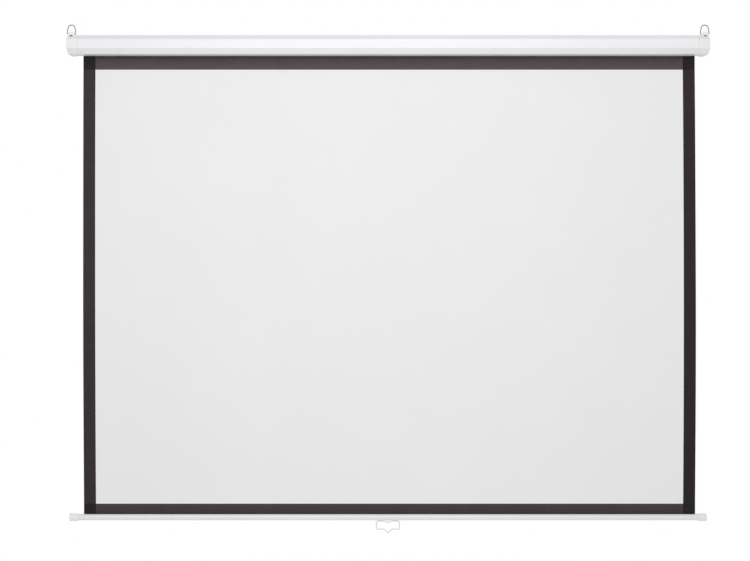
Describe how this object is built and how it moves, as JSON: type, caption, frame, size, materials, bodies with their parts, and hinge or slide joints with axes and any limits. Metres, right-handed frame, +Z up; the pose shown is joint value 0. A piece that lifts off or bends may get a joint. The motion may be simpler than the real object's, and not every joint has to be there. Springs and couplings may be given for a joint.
{
  "type": "pull-down projector screen",
  "caption": "Spring-roller projector screen, pulled down: bevelled metal case with hanging rings, black-bordered white fabric, round bottom bar and wire pull handle.",
  "frame": {"origin": "middle of the case's flat rear face, which lies against the wall", "axes": "+X to the right along the case, +Y towards the wall, +Z up"},
  "size_m": [1.846, 0.0629, 1.4678],
  "materials": {
    "case_paint": "satin white powder coat",
    "cap_plastic": "fine-textured white moulding",
    "bar_paint": "satin white powder coat",
    "screen_white": "matt white projection coating",
    "screen_black": "matt black coating",
    "coated_wire": "light grey coated wire",
    "ring_steel": "dark plated wire",
    "zinc_steel": "zinc plate",
    "bright_steel": "bright drawn steel",
    "roller_steel": "galvanised",
    "nylon": "natural nylon"
  },
  "bodies": {
    "case": {"case_shell": "case_paint", "left_end_cap": "cap_plastic", "right_end_cap": "cap_plastic", "left_cap_screw": "case_paint", "right_cap_screw": "case_paint", "left_bracket": "zinc_steel", "right_bracket": "zinc_steel", "left_lower_bracket_screw": "zinc_steel", "left_upper_bracket_screw": "zinc_steel", "right_lower_bracket_screw": "zinc_steel", "right_upper_bracket_screw": "zinc_steel", "spring_spindle": "bright_steel", "latch_collar": "zinc_steel", "spindle_clip_ring": "zinc_steel", "torsion_spring": "bright_steel", "spring_anchor_hub": "zinc_steel", "idler_bush": "nylon", "screen_sheet": "screen_white", "left_side_band": "screen_black", "right_side_band": "screen_black", "top_band": "screen_black", "bottom_band": "screen_black"},
    "bar": {"bottom_bar": "bar_paint", "fabric_hem": "screen_black", "hem_rod": "nylon", "left_bar_cap": "cap_plastic", "right_bar_cap": "cap_plastic", "handle_clip": "cap_plastic", "clip_screw": "bar_paint"},
    "roller": {"roller_tube": "roller_steel", "left_roller_plug": "nylon", "right_roller_plug": "nylon", "idler_pin": "bright_steel", "latch_plate": "zinc_steel", "pawl_pin_a": "bright_steel", "pawl_pin_b": "bright_steel", "fabric_on_roller": "screen_black"},
    "upper_pawl": {"pawl_a": "bright_steel"},
    "lower_pawl": {"pawl_b": "bright_steel"},
    "handle": {"pull_handle": "coated_wire"},
    "left_ring": {"left_hanging_ring": "ring_steel"},
    "right_ring": {"right_hanging_ring": "ring_steel"}
  },
  "joints": [
    {"name": "screen_slide", "type": "slide", "parent": "case", "child": "bar", "axis": [0, 0, 1], "range_m": [0, 1.323], "deforming": ["screen_sheet", "left_side_band", "right_side_band", "top_band", "bottom_band"]},
    {"name": "roller_spin", "type": "hinge", "parent": "case", "child": "roller", "pos_m": [0, -0.02899, 0], "axis": [1, 0, 0], "range_deg": [0, 3601]},
    {"name": "upper_pawl_pivot", "type": "hinge", "parent": "roller", "child": "upper_pawl", "pos_m": [-0.8946, -0.02899, 0.0115], "axis": [1, 0, 0], "range_deg": [-12, 12]},
    {"name": "lower_pawl_pivot", "type": "hinge", "parent": "roller", "child": "lower_pawl", "pos_m": [-0.8946, -0.02899, -0.0115], "axis": [1, 0, 0], "range_deg": [-12, 12]},
    {"name": "handle_swing", "type": "hinge", "parent": "bar", "child": "handle", "pos_m": [0, -0.00924, -1.37434], "axis": [1, 0, 0], "range_deg": [-90, 90]},
    {"name": "left_ring_swing", "type": "hinge", "parent": "case", "child": "left_ring", "pos_m": [-0.9095, -0.03988, 0.03079], "axis": [1, 0, 0], "range_deg": [-90, 110]},
    {"name": "right_ring_swing", "type": "hinge", "parent": "case", "child": "right_ring", "pos_m": [0.9095, -0.03988, 0.03079], "axis": [1, 0, 0], "range_deg": [-90, 110]}
  ],
  "couplings": [
    {"joint": "roller_spin", "follows": "screen_slide", "rad_per_m": 47.492}
  ]
}
